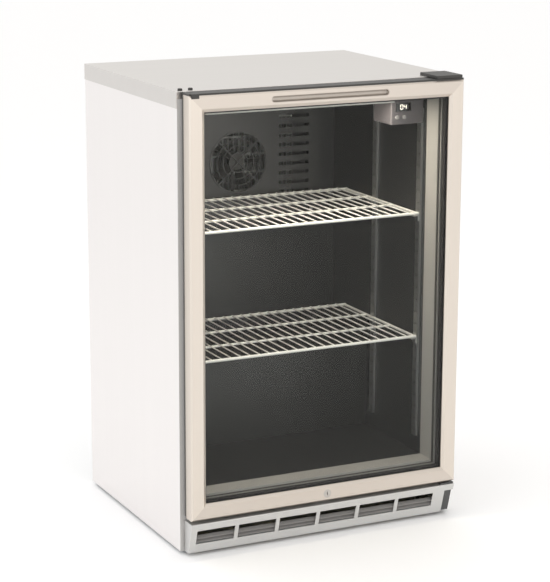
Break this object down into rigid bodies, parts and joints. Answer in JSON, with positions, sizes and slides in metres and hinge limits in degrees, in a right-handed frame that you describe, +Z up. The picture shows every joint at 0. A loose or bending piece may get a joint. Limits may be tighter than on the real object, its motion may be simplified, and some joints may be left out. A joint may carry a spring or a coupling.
{
  "type": "under counter fridge",
  "caption": "Under-counter bottle fridge with a glass door hinged on the right, wire shelves, a recessed finger grip, a door lock and a vented plinth.",
  "frame": {"origin": "on the floor, at the centre of the overall width and depth", "axes": "+X to the right seen from the front, +Y to the back (the door faces -Y), +Z up"},
  "size_m": [0.6, 0.515, 0.9055],
  "materials": {
    "worktop_steel": "brushed stainless, satin",
    "side_steel": "satin stainless",
    "door_steel": "brushed stainless, satin",
    "galvanised": "galvanised, matte",
    "frame_paint": "satin",
    "throat_plastic": "satin",
    "liner_alu": "stucco, satin",
    "foam": "matte",
    "white_wire": "gloss coating",
    "support_alu": "satin",
    "lamp_body": "satin",
    "lamp_light": "frosted",
    "control_plastic": "satin",
    "display": "gloss",
    "button_plastic": "satin",
    "fan_plastic": "satin",
    "motor_black": "satin",
    "fin_alu": "mill finish",
    "compressor_black": "gloss",
    "rubber_black": "matte",
    "copper": "drawn tube",
    "tray_plastic": "matte",
    "gland_plastic": "satin",
    "plinth_paint": "satin",
    "louvre_dark": "satin",
    "bracket_steel": "zinc plated",
    "bracket_dark": "satin",
    "screw_steel": "satin",
    "inner_frame_plastic": "satin",
    "door_glass": "clear",
    "spacer_black": "matte",
    "grip_metal": "satin",
    "lock_metal": "satin",
    "foot_plastic": "matte"
  },
  "bodies": {
    "cabinet": {"back_panel": "galvanised", "base_pan": "galvanised", "cabinet_screws": "screw_steel", "compressor": "compressor_black", "compressor_feet": "rubber_black", "condensate_tray": "tray_plastic", "condenser_coil": "fin_alu", "condenser_fan_motor": "motor_black", "condenser_shroud": "galvanised", "controller_display": "display", "controller_housing": "control_plastic", "evaporator_coil": "fin_alu", "evaporator_cover": "liner_alu", "evaporator_fan_motor": "motor_black", "front_frame": "frame_paint", "hinge_bracket_bottom": "bracket_dark", "hinge_bracket_top": "bracket_steel", "hinge_cover_top": "gland_plastic", "hinge_plugs": "gland_plastic", "insulation": "foam", "lamp_diffuser": "lamp_light", "lamp_housing": "lamp_body", "liner_floor": "liner_alu", "liner_walls": "liner_alu", "lock_keeper": "bracket_steel", "mains_gland": "gland_plastic", "plinth_grille": "plinth_paint", "plinth_louvres": "louvre_dark", "rear_service_panel": "galvanised", "refrigerant_pipes": "copper", "shelf_clips": "support_alu", "shelf_pilasters": "support_alu", "side_panel_left": "side_steel", "side_panel_right": "side_steel", "throat_frame": "throat_plastic", "worktop": "worktop_steel"},
    "door": {"door_rail_top": "door_steel", "door_rail_bottom": "door_steel", "door_stile_left": "door_steel", "door_stile_right": "door_steel", "door_inner_frame": "inner_frame_plastic", "glass_panes": "door_glass", "glass_spacer": "spacer_black", "door_gasket": "rubber_black", "door_top_cap": "gland_plastic", "handle_cup": "grip_metal", "lock_housing": "lock_metal", "hinge_bushes": "gland_plastic"},
    "lock": {"lock_plug": "lock_metal", "lock_cam": "screw_steel"},
    "evaporator_fan": {"evaporator_fan_wheel": "fan_plastic"},
    "condenser_fan": {"condenser_fan_wheel": "fan_plastic"},
    "shelf_lower": {"shelf_lower": "white_wire"},
    "shelf_upper": {"shelf_upper": "white_wire"},
    "button_up": {"controller_button_up": "button_plastic"},
    "button_down": {"controller_button_down": "button_plastic"},
    "foot_front_left": {"foot_front_left": "foot_plastic"},
    "foot_front_right": {"foot_front_right": "foot_plastic"},
    "foot_rear_left": {"foot_rear_left": "foot_plastic"},
    "foot_rear_right": {"foot_rear_right": "foot_plastic"}
  },
  "joints": [
    {"name": "door_hinge", "type": "hinge", "parent": "cabinet", "child": "door", "pos_m": [0.2795, -0.243, 0.5], "axis": [0, 0, 1], "range_deg": [0, 115]},
    {"name": "lock_turn", "type": "hinge", "parent": "door", "child": "lock", "pos_m": [0, -0.243, 0.092], "axis": [0, 1, 0], "range_deg": [0, 90]},
    {"name": "evaporator_fan_spin", "type": "hinge", "parent": "cabinet", "child": "evaporator_fan", "pos_m": [0, 0.1715, 0.69], "axis": [0, 1, 0], "continuous": true},
    {"name": "condenser_fan_spin", "type": "hinge", "parent": "cabinet", "child": "condenser_fan", "pos_m": [-0.15, 0.159, 0.104], "axis": [0, 1, 0], "continuous": true},
    {"name": "shelf_lower_lift", "type": "slide", "parent": "cabinet", "child": "shelf_lower", "axis": [0, 0, 1], "range_m": [0, 0.02]},
    {"name": "shelf_upper_lift", "type": "slide", "parent": "cabinet", "child": "shelf_upper", "axis": [0, 0, 1], "range_m": [0, 0.02]},
    {"name": "button_up_press", "type": "slide", "parent": "cabinet", "child": "button_up", "axis": [0, 1, 0], "range_m": [0, 0.001], "stiffness_N_per_m": 400, "springref_m": -0.001},
    {"name": "button_down_press", "type": "slide", "parent": "cabinet", "child": "button_down", "axis": [0, 1, 0], "range_m": [0, 0.001], "stiffness_N_per_m": 400, "springref_m": -0.001},
    {"name": "foot_front_left_screw", "type": "slide", "parent": "cabinet", "child": "foot_front_left", "axis": [0, 0, 1], "range_m": [-0.012, 0]},
    {"name": "foot_front_right_screw", "type": "slide", "parent": "cabinet", "child": "foot_front_right", "axis": [0, 0, 1], "range_m": [-0.012, 0]},
    {"name": "foot_rear_left_screw", "type": "slide", "parent": "cabinet", "child": "foot_rear_left", "axis": [0, 0, 1], "range_m": [-0.012, 0]},
    {"name": "foot_rear_right_screw", "type": "slide", "parent": "cabinet", "child": "foot_rear_right", "axis": [0, 0, 1], "range_m": [-0.012, 0]}
  ]
}
